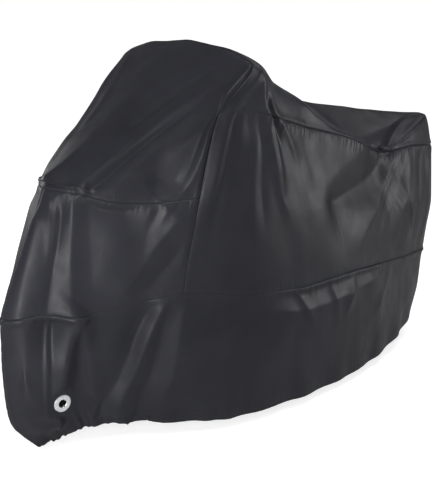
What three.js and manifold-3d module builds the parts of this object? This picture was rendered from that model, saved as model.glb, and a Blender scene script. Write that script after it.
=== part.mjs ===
// Fitted motorcycle cover: coated cloth panels sewn into one hollow, elastic-hemmed hood, with a
// pair of metal lock eyelets low at the front. The machine it hides is left out.
// Millimetres, +Z up, +X towards the front of the machine, +Y its left side.
import * as THREE from 'three';
import { mergeVertices } from 'three/addons/utils/BufferGeometryUtils.js';
import Module from 'manifold-3d';

// Driving dimensions
const clothThickness = 2;
const seamGap = 0.3;
const hemClearance = 59;          // lowest hem above the ground the wheels stand on
const boxCentreShift = 21;        // middle of the cover's box behind the middle of the wheelbase
const eyeletOuterDiameter = 58;
const eyeletHoleDiameter = 26;
const eyeletFlangeThickness = 1.6;
const eyeletBarrelWall = 2;
const eyeletClearance = 0.3;
const eyeletFlatRadius = 90;      // the cloth is pressed flat this far from the eyelet's middle
const eyeletBlendRadius = 135;
const eyeletSegments = 32;
const lineTension = 0.36;         // 0 draws straight lines between the sections, 0.5 full curves
const sectionTension = 0.32;
const hemWaveDepth = 5;           // the elastic's main gathers, and a slower, shallower wave under them
const hemWavesPerSection = 1.5;
const slowWaveShare = 0.5;
const slowWavesPerSection = 1.16;
const foldRouteSteps = 12;
const mergeTolerance = 1e-4;
const eyeletPlace = [1.5, 4.9];   // [section, line], counted as in the tables below

// The cover is drawn by seven lines that run round it: the crest along its top, the shoulder where
// the top turns into the side, the upper and waist lines, the mid seam, the low line where the
// skirt starts to draw in, and the hem. Each row is one section, from the front middle round the
// left side to the back middle, and gives where the section meets the lines: x forward from the
// middle of the wheelbase, y out to the left, z above the ground. rightLift raises the right-hand
// shoulder, and the upper line half as far; rightTuck draws the right-hand upper and waist lines
// back and in. steps is how many grid columns lie between a section and the next one.
const SECTIONS = [
  { name: 'front middle', steps: 3, rightLift: 0, rightTuck: 0,
    crest: [792, 0, 930], shoulder: [812, 0, 918], upper: [818, 0, 904],
    waist: [817, 0, 880], mid: [976, 0, 503], low: [970, 0, 168], hem: [878, 0, 60] },
  { name: 'nose corner', steps: 4, rightLift: 0, rightTuck: 0,
    crest: [740, 0, 955], shoulder: [768, 77, 900], upper: [778, 87, 889],
    waist: [777, 94, 874], mid: [905, 84, 517], low: [906, 84, 185], hem: [830, 52, 90] },
  { name: 'screen foot', steps: 4, rightLift: 0, rightTuck: 0,
    crest: [655, 0, 1008], shoulder: [666, 128, 966], upper: [684, 150, 905],
    waist: [690, 163, 846], mid: [775, 150, 507], low: [778, 108, 232], hem: [745, 95, 118] },
  { name: 'screen', steps: 4, rightLift: -6, rightTuck: 38,
    crest: [505, 0, 1112], shoulder: [518, 192, 1062], upper: [560, 222, 950],
    waist: [590, 230, 838], mid: [640, 208, 527], low: [640, 172, 245], hem: [610, 152, 112] },
  { name: 'handlebar', steps: 4, rightLift: 0, rightTuck: 60,
    crest: [253, 0, 1287], shoulder: [253, 305, 1231], upper: [396, 330, 1105],
    waist: [470, 325, 850], mid: [513, 287, 555], low: [476, 288, 255], hem: [440, 270, 104] },
  { name: 'tank front', steps: 4, rightLift: 5, rightTuck: 0,
    crest: [130, 0, 1195], shoulder: [110, 262, 1163], upper: [200, 322, 1075],
    waist: [265, 352, 820], mid: [300, 358, 520], low: [322, 344, 252], hem: [330, 322, 101] },
  { name: 'tank', steps: 4, rightLift: 25, rightTuck: 0,
    crest: [-60, 0, 1075], shoulder: [-70, 218, 1085], upper: [-20, 275, 1012],
    waist: [40, 335, 760], mid: [60, 352, 495], low: [70, 352, 250], hem: [65, 345, 99] },
  { name: 'seat front', steps: 4, rightLift: 75, rightTuck: 0,
    crest: [-280, 0, 975], shoulder: [-268, 190, 984], upper: [-282, 220, 937],
    waist: [-220, 300, 710], mid: [-190, 325, 488], low: [-190, 329, 250], hem: [-190, 325, 97] },
  { name: 'seat dip', steps: 4, rightLift: 132, rightTuck: 0,
    crest: [-560, 0, 885], shoulder: [-560, 160, 862], upper: [-553, 172, 850],
    waist: [-500, 240, 650], mid: [-430, 265, 465], low: [-425, 275, 250], hem: [-425, 275, 101] },
  { name: 'tail rise', steps: 4, rightLift: 70, rightTuck: 0,
    crest: [-760, 0, 900], shoulder: [-740, 130, 893], upper: [-760, 138, 844],
    waist: [-720, 195, 640], mid: [-680, 190, 430], low: [-670, 200, 245], hem: [-660, 200, 120] },
  { name: 'tail corner', steps: 3, rightLift: 0, rightTuck: 0,
    crest: [-895, 0, 930], shoulder: [-922, 74, 935], upper: [-945, 90, 822],
    waist: [-940, 112, 600], mid: [-905, 104, 405], low: [-875, 112, 255], hem: [-850, 105, 150] },
  { name: 'back middle', steps: 0, rightLift: 0, rightTuck: 0,
    crest: [-965, 0, 936], shoulder: [-985, 0, 928], upper: [-1022, 0, 808],
    waist: [-1025, 0, 600], mid: [-1000, 0, 400], low: [-965, 0, 262], hem: [-915, 0, 165] },
];
const LINES = ['crest', 'shoulder', 'upper', 'waist', 'mid', 'low', 'hem'];
const ROWS_BETWEEN_LINES = [4, 3, 4, 5, 4, 3];

// Main folds. from and to are [section, line] places, both counted from 0 in the tables above, and
// via is a place in between. height is how far a ridge stands out of the cloth, negative for a
// trough, and width is how far to either side it has mostly gone. side says which flank it is on.
const FOLDS = [
  // Round of the hood over the handlebar, between the crest and each end
  { side: 'both', from: [3.7, 0.55], via: [4.0, 0.55], to: [4.3, 0.5], width: 85, height: 9 },
  // Tension crease of the hood, from the nose corner to each handlebar end
  { side: 'left', from: [1.3, 2.6], via: [1.95, 1.08], to: [3.78, 1.0], width: 24, height: -9 },
  { side: 'right', from: [1.2, 1.6], via: [2.5, 0.85], to: [4.0, 1.0], width: 24, height: 7 },
  // Soft folds of the hood under each handlebar end
  { side: 'left', from: [3.62, 1.3], via: [3.8, 2.35], to: [3.2, 2.97], width: 68, height: -22 },
  { side: 'left', from: [3.8, 1.3], via: [4.05, 2.75], to: [3.35, 3.0], width: 24, height: 8 },
  { side: 'left', from: [3.0, 2.1], via: [3.07, 2.66], to: [3.14, 3.04], width: 24, height: -5 },
  { side: 'right', from: [3.8, 1.4], via: [3.2, 2.1], to: [2.6, 2.8], width: 28, height: 11 },
  // Swag under the front seam, and the gathers that fall from the nose
  { side: 'left', from: [0.98, 3.04], via: [2.3, 3.25], to: [2.9, 3.02], width: 32, height: -13 },
  { side: 'left', from: [0.13, 3.2], via: [0.35, 3.46], to: [0.7, 4.3], width: 46, height: 9 },
  { side: 'left', from: [0.57, 3.08], via: [1.18, 3.5], to: [1.34, 4.5], width: 54, height: -25 },
  { side: 'left', from: [0.98, 3.06], via: [1.44, 3.5], to: [1.95, 4.4], width: 40, height: 14 },
  { side: 'right', from: [0.8, 3.1], via: [1.0, 3.5], to: [1.1, 4.2], width: 26, height: 8 },
  { side: 'right', from: [1.8, 3.2], via: [2.0, 3.6], to: [1.9, 4.4], width: 32, height: -9 },
  // Slanting fold from each handlebar end down the front panel
  { side: 'left', from: [3.72, 3.16], via: [3.2, 3.58], to: [2.4, 3.92], width: 30, height: 9 },
  { side: 'right', from: [3.8, 3.0], via: [3.2, 3.4], to: [2.8, 4.0], width: 36, height: 12 },
  // Long folds that hang from the handlebar ends beside and behind the upright seam
  { side: 'both', from: [3.95, 1.3], via: [4.06, 2.6], to: [3.95, 3.85], width: 24, height: -7 },
  { side: 'both', from: [4.15, 1.05], via: [5.05, 2.0], to: [5.56, 2.9], width: 26, height: 17 },
  { side: 'left', from: [4.75, 2.2], via: [4.95, 2.9], to: [4.95, 3.9], width: 50, height: 8 },
  { side: 'right', from: [4.5, 1.6], via: [4.6, 2.3], to: [4.6, 3.6], width: 26, height: 9 },
  // Taut rims beside the seat, and the sag between them
  { side: 'left', from: [5.6, 1.1], via: [6.79, 2.14], to: [7.67, 1.84], width: 24, height: 9 },
  { side: 'left', from: [7.5, 1.88], via: [8.17, 0.45], to: [10.11, 0.29], width: 24, height: 8 },
  { side: 'left', from: [6.3, 0.95], via: [7.6, 1.7], to: [8.6, 0.8], width: 40, height: -9 },
  // Drape of the rear flank, drawn from the handlebar end and the tail corner, with a hollow between
  { side: 'left', from: [6.42, 2.94], via: [7.4, 2.86], to: [7.95, 2.4], width: 80, height: -30 },
  { side: 'left', from: [6.5, 2.0], via: [7.4, 2.05], to: [7.95, 2.0], width: 44, height: 7 },
  { side: 'left', from: [8.5, 2.12], via: [8.0, 2.55], to: [7.3, 3.8], width: 36, height: 10 },
  { side: 'right', from: [5.6, 2.1], via: [6.6, 2.9], to: [7.6, 3.7], width: 46, height: 12 },
  { side: 'right', from: [9.3, 2.2], via: [8.4, 2.7], to: [7.2, 3.3], width: 50, height: 13 },
  { side: 'right', from: [7.6, 2.06], via: [7.5, 2.4], to: [7.1, 2.8], width: 46, height: -10 },
  // Narrow folds that fan down from the tail corner
  { side: 'both', from: [9.42, 2.08], via: [9.2, 2.82], to: [9.3, 3.9], width: 24, height: -5 },
  { side: 'both', from: [9.75, 2.1], via: [9.6, 2.8], to: [9.75, 3.9], width: 24, height: 5 },
  { side: 'both', from: [10.2, 2.1], via: [10.1, 3.0], to: [10.1, 3.9], width: 24, height: -4 },
  // Skirt: a deep fold and a broad ridge over the wheel, and a soft swell under the mid seam there
  { side: 'left', from: [1.16, 4.0], via: [1.14, 4.37], to: [0.95, 5.3], width: 28, height: -13 },
  { side: 'left', from: [1.22, 5.6], via: [1.44, 4.28], to: [2.04, 3.94], width: 36, height: 24 },
  { side: 'left', from: [0.1, 4.4], via: [1.3, 4.5], to: [2.3, 4.36], width: 56, height: 11 },
  // Skirt: slanting folds behind the wheel, and a swell under the mid seam at the back
  { side: 'left', from: [3.5, 4.02], via: [2.78, 4.48], to: [2.1, 6.1], width: 28, height: -15 },
  { side: 'left', from: [3.75, 4.02], via: [3.12, 4.42], to: [2.36, 6.2], width: 26, height: 15 },
  { side: 'left', from: [3.75, 4.1], via: [3.36, 4.51], to: [2.9, 6.3], width: 28, height: -10 },
  { side: 'left', from: [4.1, 4.05], via: [3.6, 4.6], to: [3.25, 6.3], width: 40, height: 12 },
  { side: 'left', from: [5.2, 4.1], via: [6.9, 4.38], to: [8.6, 4.12], width: 60, height: 19 },
  { side: 'right', from: [3.4, 4.2], via: [2.9, 5.0], to: [2.2, 5.9], width: 24, height: 11 },
  { side: 'right', from: [4.6, 4.4], via: [4.2, 5.2], to: [3.6, 5.9], width: 26, height: -8 },
  { side: 'right', from: [7.2, 4.2], via: [7.6, 4.8], to: [7.9, 5.8], width: 46, height: 7 },
];

// Which cloth panel each grid cell belongs to. Sections and lines are counted from 0 in the
// tables; the left and right copies of a panel are cut apart in the front and back middle.
const HANDLEBAR_SECTION = SECTIONS.findIndex((row) => row.name === 'handlebar');
const LAST_SECTION = SECTIONS.length - 1;
const LINE = Object.fromEntries(LINES.map((name, index) => [name, index]));

const PANELS = [
  { name: 'front_hood', sides: 'both', sections: [0, HANDLEBAR_SECTION], lines: ['crest', 'waist'] },
  { name: 'front_side', sides: 'each', sections: [0, HANDLEBAR_SECTION], lines: ['waist', 'mid'] },
  { name: 'rear_top', sides: 'both', sections: [HANDLEBAR_SECTION, LAST_SECTION], lines: ['crest', 'upper'] },
  { name: 'rear_side', sides: 'each', sections: [HANDLEBAR_SECTION, LAST_SECTION], lines: ['upper', 'mid'] },
  { name: 'skirt', sides: 'each', sections: [0, LAST_SECTION], lines: ['mid', 'hem'] },
];

const clothLook = { color: 0x33343a, roughness: 0.45, metalness: 0 };
const eyeletLook = { color: 0xd9dadc, roughness: 0.3, metalness: 1 };

const wasm = await Module();
wasm.setup();

// ---- The lines as closed curves, and a point anywhere on the cover ----

const ringSize = 2 * LAST_SECTION;

function linePoint(section, line, isRight) {
  const row = SECTIONS[section];
  const [x, y, z] = row[line];
  const point = new THREE.Vector3(x + boxCentreShift, y, z - hemClearance);
  if (!isRight) return point;
  if (line === 'shoulder') point.z += row.rightLift;
  if (line === 'upper') point.z += row.rightLift / 2;
  if (line === 'upper' || line === 'waist') {
    point.x -= row.rightTuck;
    point.y -= row.rightTuck / 2;
  }
  return point.setY(-point.y);
}

const lineCurves = LINES.map((line) => {
  const points = [];
  for (let place = 0; place < ringSize; place += 1) {
    const isRight = place > LAST_SECTION;
    const section = isRight ? ringSize - place : place;
    points.push(linePoint(section, line, isRight));
  }
  return new THREE.CatmullRomCurve3(points, true, 'catmullrom', lineTension);
});

// ring runs from 0 in the front middle, round the left side to LAST_SECTION in the back middle,
// and on round the right side to ringSize. line runs from 0 at the crest to 6 at the hem.
function sectionCurve(ring) {
  const share = (place) => THREE.MathUtils.euclideanModulo(place, ringSize) / ringSize;
  const own = lineCurves.map((curve) => curve.getPoint(share(ring)));
  const acrossTheCrest = lineCurves[LINE.shoulder].getPoint(share(ringSize - ring));
  return new THREE.CatmullRomCurve3([acrossTheCrest, ...own], false, 'catmullrom', sectionTension);
}

const pointOnCurve = (curve, line) => curve.getPoint((line + 1) / LINES.length);

// ---- The grid: rings of columns, rows from crest to hem ----

const columnPlaces = [];
for (let section = 0; section < LAST_SECTION; section += 1) {
  for (let step = 0; step < SECTIONS[section].steps; step += 1) {
    columnPlaces.push(section + step / SECTIONS[section].steps);
  }
}
const leftColumnCount = columnPlaces.length;
const columnCount = 2 * leftColumnCount;
for (let back = 0; back < leftColumnCount; back += 1) {
  const mirrored = back === 0 ? LAST_SECTION : columnPlaces[leftColumnCount - back];
  columnPlaces.push(ringSize - mirrored);
}

const rowPlaces = [0];
ROWS_BETWEEN_LINES.forEach((rows, line) => {
  for (let row = 1; row <= rows; row += 1) rowPlaces.push(line + row / rows);
});

const columnCurves = columnPlaces.map(sectionCurve);

// The crest is one row of points shared by both sides, so its right-hand columns reuse the left.
function vertexId(column, row) {
  const wrapped = THREE.MathUtils.euclideanModulo(column, columnCount);
  const isSharedCrest = row === 0 && wrapped > leftColumnCount;
  return (isSharedCrest ? columnCount - wrapped : wrapped) * rowPlaces.length + row;
}

const basePoints = [];
columnPlaces.forEach((_, column) => {
  rowPlaces.forEach((line) => basePoints.push(pointOnCurve(columnCurves[column], line)));
});

function cellCorners(column, row) {
  return [
    vertexId(column, row), vertexId(column, row + 1),
    vertexId(column + 1, row + 1), vertexId(column + 1, row),
  ];
}

function trianglesOfCell(column, row) {
  const [a, b, c, d] = cellCorners(column, row);
  return [[a, b, c], [a, c, d]].filter(([p, q, r]) => p !== q && q !== r && r !== p);
}

function vertexNormals(points) {
  const normals = points.map(() => new THREE.Vector3());
  const edgeOne = new THREE.Vector3();
  const edgeTwo = new THREE.Vector3();
  for (let column = 0; column < columnCount; column += 1) {
    for (let row = 0; row < rowPlaces.length - 1; row += 1) {
      for (const [p, q, r] of trianglesOfCell(column, row)) {
        edgeOne.subVectors(points[q], points[p]);
        edgeTwo.subVectors(points[r], points[p]);
        const areaNormal = edgeOne.clone().cross(edgeTwo);
        for (const id of [p, q, r]) normals[id].add(areaNormal);
      }
    }
  }
  return normals.map((normal) => normal.normalize());
}

// ---- Folds, hem waves and the flat patches under the eyelets ----

function foldRoute(fold, isRight) {
  const route = [];
  for (let step = 0; step <= foldRouteSteps; step += 1) {
    const t = step / foldRouteSteps;
    const blend = [(1 - t) * (1 - t), 2 * t * (1 - t), t * t];
    const place = [0, 1].map((i) => blend[0] * fold.from[i] + blend[1] * fold.via[i] + blend[2] * fold.to[i]);
    const ring = isRight ? ringSize - place[0] : place[0];
    route.push(pointOnCurve(sectionCurve(ring), place[1]));
  }
  return route;
}

const foldRoutes = FOLDS.flatMap((fold) => {
  const sides = fold.side === 'both' ? [false, true] : [fold.side === 'right'];
  return sides.map((isRight) => ({ ...fold, route: foldRoute(fold, isRight) }));
});

function foldHeight(point) {
  let height = 0;
  const nearest = new THREE.Vector3();
  for (const fold of foldRoutes) {
    let distance = Infinity;
    for (let step = 0; step < foldRouteSteps; step += 1) {
      const piece = new THREE.Line3(fold.route[step], fold.route[step + 1]);
      piece.closestPointToPoint(point, true, nearest);
      distance = Math.min(distance, nearest.distanceTo(point));
    }
    height += fold.height * Math.exp(-((distance / fold.width) ** 2));
  }
  return height;
}

// The elastic gathers the hem, most of all at its ends, so it waves in and out.
function hemWave(ring, line) {
  const nearHem = THREE.MathUtils.smoothstep(line, LINE.low, LINE.hem);
  const gathers = Math.sin(2 * Math.PI * hemWavesPerSection * ring);
  const slowWave = slowWaveShare * Math.sin(2 * Math.PI * slowWavesPerSection * ring);
  return hemWaveDepth * nearHem * (gathers + slowWave);
}

const baseNormals = vertexNormals(basePoints);
const clothPoints = basePoints.map((point, id) => {
  const ring = columnPlaces[Math.floor(id / rowPlaces.length)];
  const line = rowPlaces[id % rowPlaces.length];
  const outward = foldHeight(point) + hemWave(ring, line);
  return point.clone().addScaledVector(baseNormals[id], outward);
});

const eyeletRing = (isRight) => (isRight ? ringSize - eyeletPlace[0] : eyeletPlace[0]);

function eyeletFrame(isRight) {
  const ring = eyeletRing(isRight);
  const place = (sidestep, drop) => pointOnCurve(sectionCurve(ring + sidestep), eyeletPlace[1] + drop);
  const around = place(0.1, 0).sub(place(-0.1, 0));
  const down = place(0, 0.1).sub(place(0, -0.1));
  const outward = down.cross(around).normalize();
  return { centre: place(0, 0), outward };
}

const eyeletFrames = { left: eyeletFrame(false), right: eyeletFrame(true) };

// Near each eyelet the cloth lies in the plane that the two flanges clamp.
for (const { centre, outward } of Object.values(eyeletFrames)) {
  for (const point of clothPoints) {
    const away = point.distanceTo(centre);
    const share = 1 - THREE.MathUtils.smoothstep(away, eyeletFlatRadius, eyeletBlendRadius);
    const offPlane = point.clone().sub(centre).dot(outward);
    point.addScaledVector(outward, -offPlane * share);
  }
}

const clothNormals = vertexNormals(clothPoints);

// ---- A panel: its cells as a sheet with thickness, drawn in by half a gap at its seams ----

function bufferFromTriangles(points, triangles) {
  const geometry = new THREE.BufferGeometry();
  const positions = triangles.flat().flatMap((id) => points[id].toArray());
  geometry.setAttribute('position', new THREE.Float32BufferAttribute(positions, 3));
  const merged = mergeVertices(geometry, mergeTolerance);
  merged.computeVertexNormals();
  return merged;
}

function borderEdges(triangles) {
  const directed = new Map();
  for (const [p, q, r] of triangles) {
    for (const [from, to] of [[p, q], [q, r], [r, p]]) directed.set(`${from},${to}`, [from, to]);
  }
  return [...directed.values()].filter(([from, to]) => !directed.has(`${to},${from}`));
}

function drawnInPoints(edges) {
  const inwardAt = new Map();
  for (const [from, to] of edges) {
    const along = clothPoints[to].clone().sub(clothPoints[from]);
    for (const id of [from, to]) {
      const inward = clothNormals[id].clone().cross(along).normalize();
      inwardAt.set(id, [...(inwardAt.get(id) ?? []), inward]);
    }
  }
  const points = [...clothPoints];
  for (const [id, directions] of inwardAt) {
    const [first, second = first] = directions;
    const mitre = first.clone().add(second).divideScalar(1 + first.dot(second));
    points[id] = clothPoints[id].clone().addScaledVector(mitre, seamGap / 2);
  }
  return points;
}

function panelGeometry(firstColumn, lastColumn, firstRow, lastRow) {
  const sheet = [];
  for (let column = firstColumn; column < lastColumn; column += 1) {
    for (let row = firstRow; row < lastRow; row += 1) sheet.push(...trianglesOfCell(column, row));
  }
  const edges = borderEdges(sheet);
  const middle = drawnInPoints(edges);
  const count = middle.length;
  const offset = (side) => middle.map((point, id) => (
    point.clone().addScaledVector(clothNormals[id], (side * clothThickness) / 2)));
  const triangles = sheet.flatMap(([p, q, r]) => [[p, q, r], [r + count, q + count, p + count]]);
  for (const [from, to] of edges) {
    // The wall's diagonal starts at the lower id, so that neighbouring panels' walls are parallel
    if (from < to) triangles.push([to, from, from + count], [to, from + count, to + count]);
    else triangles.push([to, from, to + count], [from, from + count, to + count]);
  }
  return bufferFromTriangles([...offset(1), ...offset(-1)], triangles);
}

// ---- Joining and cutting ----

function toSolid(geometry) {
  const bare = geometry.clone();
  bare.deleteAttribute('normal');
  bare.deleteAttribute('uv');
  const merged = mergeVertices(bare, mergeTolerance);
  return new wasm.Manifold(new wasm.Mesh({
    numProp: 3,
    vertProperties: new Float32Array(merged.attributes.position.array),
    triVerts: new Uint32Array(merged.index.array),
  }));
}

function fromSolid(solid) {
  const mesh = solid.getMesh();
  const geometry = new THREE.BufferGeometry();
  geometry.setAttribute('position', new THREE.Float32BufferAttribute(mesh.vertProperties, 3));
  geometry.setIndex([...mesh.triVerts]);
  geometry.computeVertexNormals();
  return geometry;
}

function standOnCloth(geometry, { centre, outward }) {
  const turn = new THREE.Quaternion().setFromUnitVectors(new THREE.Vector3(0, 1, 0), outward);
  return geometry.applyQuaternion(turn).translate(...centre.toArray());
}

// ---- Eyelets: one spool-shaped ring each, a domed flange outside and a flat one inside ----

const holeRadius = eyeletHoleDiameter / 2;
const barrelRadius = holeRadius + eyeletBarrelWall;
const flangeRadius = eyeletOuterDiameter / 2;
const clothHoleRadius = barrelRadius + eyeletClearance;

function eyeletGeometry() {
  const seat = clothThickness / 2 + eyeletClearance;
  const top = seat + eyeletFlangeThickness;
  const dome = eyeletFlangeThickness / 2;
  const profile = [
    [holeRadius, -top], [flangeRadius, -top], [flangeRadius, -seat], [barrelRadius, -seat],
    [barrelRadius, seat], [flangeRadius, seat], [flangeRadius, top - dome],
    [flangeRadius - 2 * dome, top + dome], [barrelRadius, top + dome], [holeRadius, top - dome],
    [holeRadius, -top],
  ];
  return new THREE.LatheGeometry(profile.map(([r, h]) => new THREE.Vector2(r, h)), eyeletSegments);
}

const cutterLength = 10 * clothThickness;

function holeCutter() {
  return new THREE.CylinderGeometry(clothHoleRadius, clothHoleRadius, cutterLength, eyeletSegments);
}

// ---- The cover ----

const cover = new THREE.Group();

function addPiece(name, geometry, look) {
  const mesh = new THREE.Mesh(geometry, new THREE.MeshStandardMaterial(look));
  mesh.name = name;
  cover.add(mesh);
}

const columnOf = (section) => columnPlaces.indexOf(section);
const rowOf = (line) => rowPlaces.indexOf(LINE[line]);

for (const { name, sides, sections, lines } of PANELS) {
  const [start, end] = sections.map(columnOf);
  const [top, bottom] = lines.map(rowOf);
  if (sides === 'both') {
    // One piece over both flanks: round the front middle, or round the back middle
    const span = start === 0 ? [-end, end] : [start, columnCount - start];
    addPiece(name, panelGeometry(...span, top, bottom), clothLook);
    continue;
  }
  const spans = { left: [start, end], right: [columnCount - end, columnCount - start] };
  for (const [side, span] of Object.entries(spans)) {
    let geometry = panelGeometry(...span, top, bottom);
    if (name === 'skirt') {
      const cutter = toSolid(standOnCloth(holeCutter(), eyeletFrames[side]));
      geometry = fromSolid(toSolid(geometry).subtract(cutter));
    }
    addPiece(`${name}_${side}`, geometry, clothLook);
  }
}

for (const [side, frame] of Object.entries(eyeletFrames)) {
  addPiece(`eyelet_${side}`, standOnCloth(eyeletGeometry(), frame), eyeletLook);
}

export default cover;
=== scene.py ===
import bpy
import numpy as np
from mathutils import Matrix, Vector


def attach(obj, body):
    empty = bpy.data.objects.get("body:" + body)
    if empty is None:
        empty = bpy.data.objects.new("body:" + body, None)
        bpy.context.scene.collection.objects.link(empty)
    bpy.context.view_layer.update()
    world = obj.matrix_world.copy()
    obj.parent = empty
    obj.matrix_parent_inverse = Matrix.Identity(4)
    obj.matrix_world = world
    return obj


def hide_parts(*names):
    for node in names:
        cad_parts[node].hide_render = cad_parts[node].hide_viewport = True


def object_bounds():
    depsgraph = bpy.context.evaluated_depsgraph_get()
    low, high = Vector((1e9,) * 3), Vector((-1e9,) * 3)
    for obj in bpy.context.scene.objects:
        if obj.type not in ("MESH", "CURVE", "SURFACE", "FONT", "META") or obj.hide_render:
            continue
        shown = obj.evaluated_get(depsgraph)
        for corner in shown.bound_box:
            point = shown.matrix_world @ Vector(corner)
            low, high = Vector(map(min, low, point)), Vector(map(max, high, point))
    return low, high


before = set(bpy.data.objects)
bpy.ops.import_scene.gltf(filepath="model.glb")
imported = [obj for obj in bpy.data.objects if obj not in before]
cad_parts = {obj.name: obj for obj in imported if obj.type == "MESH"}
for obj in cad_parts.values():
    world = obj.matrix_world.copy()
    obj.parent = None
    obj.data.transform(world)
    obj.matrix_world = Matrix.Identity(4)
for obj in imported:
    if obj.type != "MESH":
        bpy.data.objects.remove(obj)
cad_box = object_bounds()

# ---------------------------------------------------------------------------
# Front hood. One panel of coated polyester lies over the screen and both ends of the handlebar.
# It is sewn to the two fairing panels along the front seam, and to the rear panels beside the
# handlebar. This section also holds the drape that every panel is cut from, and the cloth itself.

# Each row is one upright section, from the front middle round the left side to the back middle.
# It gives how far the right-hand shoulder is lifted, how far the right-hand upper and waist lines
# are tucked back, and then where the section meets the seven lines that run round the cover, in
# millimetres: forward from the middle of the wheelbase, out to the left, above the ground.
LINES = ("crest", "shoulder", "upper", "waist", "mid", "low", "hem")
CREST, SHOULDER, UPPER, WAIST, MID, LOW, HEM = range(len(LINES))
DRAPE = [
    ("front middle", 0, 0,
     ((792, 0, 930), (812, 0, 918), (818, 0, 904), (817, 0, 880),
      (976, 0, 503), (970, 0, 168), (878, 0, 60))),
    ("nose corner", 0, 0,
     ((740, 0, 955), (768, 77, 900), (778, 87, 889), (777, 94, 874),
      (905, 84, 517), (906, 84, 185), (830, 52, 90))),
    ("screen foot", 0, 0,
     ((655, 0, 1008), (666, 128, 966), (684, 150, 905), (690, 163, 846),
      (775, 150, 507), (778, 108, 232), (745, 95, 118))),
    ("screen", -6, 38,
     ((505, 0, 1112), (518, 192, 1062), (560, 222, 950), (590, 230, 838),
      (640, 208, 527), (640, 172, 245), (610, 152, 112))),
    ("handlebar", 0, 60,
     ((253, 0, 1287), (253, 305, 1231), (396, 330, 1105), (470, 325, 850),
      (513, 287, 555), (476, 288, 255), (440, 270, 104))),
    ("tank front", 5, 0,
     ((130, 0, 1195), (110, 262, 1163), (200, 322, 1075), (265, 352, 820),
      (300, 358, 520), (322, 344, 252), (330, 322, 101))),
    ("tank", 25, 0,
     ((-60, 0, 1075), (-70, 218, 1085), (-20, 275, 1012), (40, 335, 760),
      (60, 352, 495), (70, 352, 250), (65, 345, 99))),
    ("seat front", 75, 0,
     ((-280, 0, 975), (-268, 190, 984), (-282, 220, 937), (-220, 300, 710),
      (-190, 325, 488), (-190, 329, 250), (-190, 325, 97))),
    ("seat dip", 132, 0,
     ((-560, 0, 885), (-560, 160, 862), (-553, 172, 850), (-500, 240, 650),
      (-430, 265, 465), (-425, 275, 250), (-425, 275, 101))),
    ("tail rise", 70, 0,
     ((-760, 0, 900), (-740, 130, 893), (-760, 138, 844), (-720, 195, 640),
      (-680, 190, 430), (-670, 200, 245), (-660, 200, 120))),
    ("tail corner", 0, 0,
     ((-895, 0, 930), (-922, 74, 935), (-945, 90, 822), (-940, 112, 600),
      (-905, 104, 405), (-875, 112, 255), (-850, 105, 150))),
    ("back middle", 0, 0,
     ((-965, 0, 936), (-985, 0, 928), (-1022, 0, 808), (-1025, 0, 600),
      (-1000, 0, 400), (-965, 0, 262), (-915, 0, 165))),
]
HANDLEBAR = 4                    # the section at the handlebar ends
LAST = len(DRAPE) - 1            # the back middle
RING = 2 * LAST                  # places run on round the right side and back to the front
GROUND_DROP = 59                 # the hem's lowest point above the ground
MIDDLE_SHIFT = 21                # the box's middle, forward of the middle of the wheelbase
LINE_TENSION = 0.36              # how strongly each point of a line round the cover is led by
SECTION_TENSION = 0.32           # the points on either side of it, and the same down a section
MM = 0.001

line_points = np.zeros((len(LINES), RING, 3))
for place in range(RING):
    is_right = place > LAST
    _, lift, tuck, section = DRAPE[RING - place if is_right else place]
    line_points[:, place] = np.array(section, float) + (MIDDLE_SHIFT, 0, -GROUND_DROP)
    if is_right:
        line_points[SHOULDER, place, 2] += lift
        line_points[UPPER, place, 2] += lift / 2
        line_points[UPPER:MID, place, 0] -= tuck
        line_points[UPPER:MID, place, 1] -= tuck / 2
        line_points[:, place, 1] *= -1
line_points *= MM


def between(before, start, end, after, share, tension):
    """Points on the smooth curve from start to end, a share of the way along."""
    leaving, arriving = tension * (end - before), tension * (after - start)
    return (start + leaving * share + (3 * (end - start) - 2 * leaving - arriving) * share ** 2
            + (2 * (start - end) + leaving + arriving) * share ** 3)


def on_line(line, ring):
    ring = np.mod(ring, RING)
    i = np.minimum(np.floor(ring).astype(int), RING - 1)
    near = line_points[line]
    return between(near[i - 1], near[i], near[(i + 1) % RING], near[(i + 2) % RING],
                   (ring - i)[:, None], LINE_TENSION)


def drape(ring, line):
    """Points of the smooth cover: ring counts sections round it, line counts lines down it."""
    shape = np.shape(ring)
    ring, line = np.ravel(ring), np.ravel(line)
    knots = [on_line(SHOULDER, RING - ring)] + [on_line(k, ring) for k in range(len(LINES))]
    knots.append(2 * knots[-1] - knots[-2])
    knots = np.stack(knots)
    i = np.clip(np.floor(line).astype(int), 0, len(LINES) - 2)
    n = np.arange(len(ring))
    points = between(knots[i, n], knots[i + 1, n], knots[i + 2, n], knots[i + 3, n],
                     (line - i)[:, None], SECTION_TENSION)
    return points.reshape(*shape, 3)


def unit(vectors):
    return vectors / np.maximum(np.linalg.norm(vectors, axis=-1, keepdims=True), 1e-12)


def smooth(value, start, end):
    share = np.clip((value - start) / (end - start), 0, 1)
    return share * share * (3 - 2 * share)


def outward(ring, line, nudge=1e-3):
    down = drape(ring, line + nudge) - drape(ring, line - nudge)
    round_it = drape(ring + nudge, line) - drape(ring - nudge, line)
    return unit(np.cross(down, round_it))


# The cloth is laid out in cells of about this size, narrower round the cover than down it so
# that upright gathers come out clean.
CELL_ROUND = 4.9 * MM
CELL_DOWN = 7.9 * MM

lengths_round = np.zeros(LAST)
lengths_down = np.zeros(len(LINES) - 1)
for half in (1, -1):
    sections = half * np.arange(LAST + 1.0)
    corners = drape(*np.meshgrid(sections, np.arange(float(len(LINES))), indexing="ij"))
    round_it, down = (np.linalg.norm(np.diff(corners, axis=axis), axis=2) for axis in (0, 1))
    lengths_round = np.maximum(lengths_round, round_it.max(1))
    lengths_down = np.maximum(lengths_down, down.max(0))


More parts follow.
